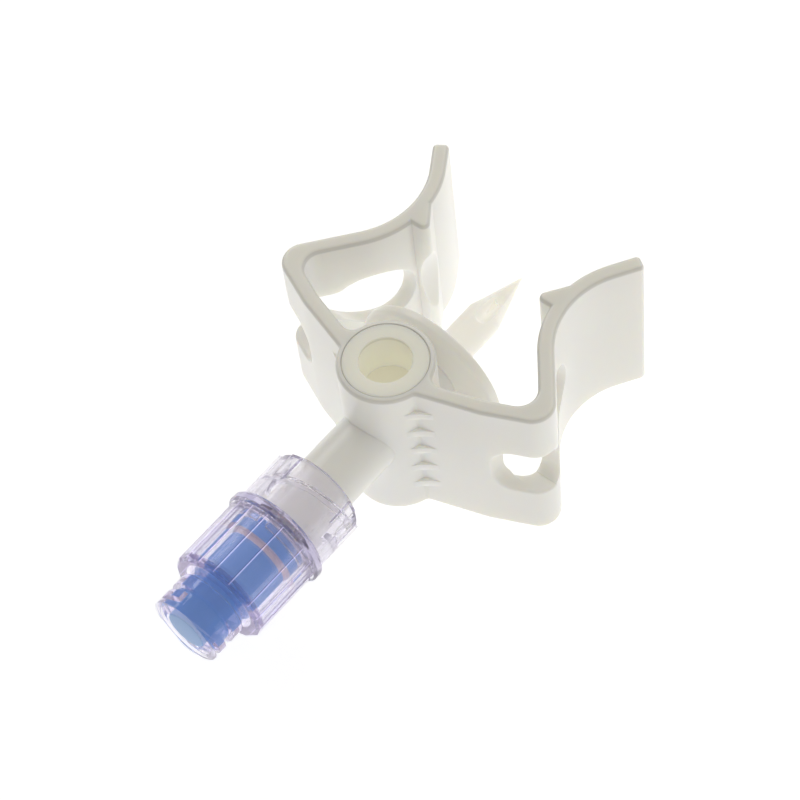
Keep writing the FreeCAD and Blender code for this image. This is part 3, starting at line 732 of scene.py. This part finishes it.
profile = [
    (Vector((0, face_y)), 0.0),
    (Vector((plug_radius, face_y)), soft),
    (Vector((plug_radius, shoulder_y)), soft),
    (Vector((body_radius - shoulder_slope, shoulder_y)), soft),
    (Vector((body_radius, shoulder_y + shoulder_slope)), soft),
    (Vector((body_radius, groove_low_y)), fine),
    (Vector((groove_radius, groove_low_y)), fine),
    (Vector((groove_radius, groove_high_y)), fine),
    (Vector((skirt_radius, groove_high_y)), fine),
    (Vector((skirt_radius, lip_y)), fine),
    (Vector((body_radius, lip_y)), fine),
    (Vector((body_radius, seat_y)), fine),
    (Vector((cavity_radius, seat_y)), fine),
    (Vector((cavity_radius, seat_y - cavity_depth)), soft),
    (Vector((0, seat_y - cavity_depth - cavity_point)), 0.0),
]
piston_profile = rounded([point for point, radius in profile], [radius for point, radius in profile])
print(f"piston profile has {len(piston_profile)} points")

# %% Geometry Nodes tree that turns a profile
def turning_tree(name):
    """A tree that turns a profile of edges about the axis along Y, as a lathe would."""
    tree = bpy.data.node_groups.new(name, "GeometryNodeTree")
    sockets = {}
    asked_for = (
        ("Profile", "NodeSocketGeometry"),
        ("Steps", "NodeSocketInt"),
        ("Core radius", "NodeSocketFloat"),
        ("Merge distance", "NodeSocketFloat"),
        ("Material", "NodeSocketMaterial"),
    )
    for socket_name, socket_type in asked_for:
        made = tree.interface.new_socket(name=socket_name, in_out="INPUT", socket_type=socket_type)
        sockets[socket_name] = made.identifier
    tree.interface.new_socket(name="Turned", in_out="OUTPUT", socket_type="NodeSocketGeometry")
    given = add(tree, "NodeGroupInput")
    result = add(tree, "NodeGroupOutput")
    circle = add(tree, "GeometryNodeCurvePrimitiveCircle")
    outline = add(tree, "GeometryNodeMeshToCurve")
    sweep = add(tree, "GeometryNodeCurveToMesh")
    weld = add(tree, "GeometryNodeMergeByDistance")
    lay_down = add(tree, "GeometryNodeTransform")
    smooth = add(tree, "GeometryNodeSetShadeSmooth")
    real = add(tree, "GeometryNodeRealizeInstances")
    painted = add(tree, "GeometryNodeSetMaterial")
    lay_down.inputs["Rotation"].default_value = (math.pi / 2, 0, 0)
    wires = (
        (given.outputs["Steps"], circle.inputs["Resolution"]),
        (given.outputs["Core radius"], circle.inputs["Radius"]),
        (given.outputs["Profile"], outline.inputs["Mesh"]),
        (circle.outputs["Curve"], sweep.inputs["Curve"]),
        (outline.outputs["Curve"], sweep.inputs["Profile Curve"]),
        (sweep.outputs["Mesh"], weld.inputs["Geometry"]),
        (given.outputs["Merge distance"], weld.inputs["Distance"]),
        (weld.outputs["Geometry"], lay_down.inputs["Geometry"]),
        (lay_down.outputs["Geometry"], smooth.inputs["Geometry"]),
        (smooth.outputs["Geometry"], real.inputs["Geometry"]),
        (real.outputs["Geometry"], painted.inputs["Geometry"]),
        (given.outputs["Material"], painted.inputs["Material"]),
        (painted.outputs["Geometry"], result.inputs["Turned"]),
    )
    for start, end in wires:
        tree.links.new(start, end)
    return tree, sockets


# %% Turn the piston
turn_steps = 96
core_radius = 0.0001 * MM
merge_distance = 0.002 * MM


def turned(name, outline, material):
    """A plain mesh made by the tree from a profile that starts and ends on the axis."""
    data = bpy.data.meshes.new(name + "_profile")
    edges = [(index, index + 1) for index in range(len(outline) - 1)]
    data.from_pydata([(point.x, point.y, 0) for point in outline], edges, [])
    made = bpy.data.objects.new(name, data)
    bpy.context.scene.collection.objects.link(made)
    tree, sockets = turning_tree("turned about the valve axis")
    lathe = made.modifiers.new("lathe", "NODES")
    lathe.node_group = tree
    lathe[sockets["Steps"]] = turn_steps
    lathe[sockets["Core radius"]] = core_radius
    lathe[sockets["Merge distance"]] = merge_distance
    lathe[sockets["Material"]] = material
    solved = made.evaluated_get(bpy.context.evaluated_depsgraph_get())
    solid = bpy.data.meshes.new_from_object(solved)
    made.modifiers.remove(lathe)
    made.data = solid
    solid.name = name
    return made


piston = turned("piston", piston_profile, silicone)
piston_edges = bmesh.new()
piston_edges.from_mesh(piston.data)
print("open edges on the piston:", sum(len(edge.link_faces) != 2 for edge in piston_edges.edges))
piston_edges.free()

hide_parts("valve_piston")
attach(piston, "swab")

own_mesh(piston)
print(f"piston made of {len(piston.data.polygons)} faces")
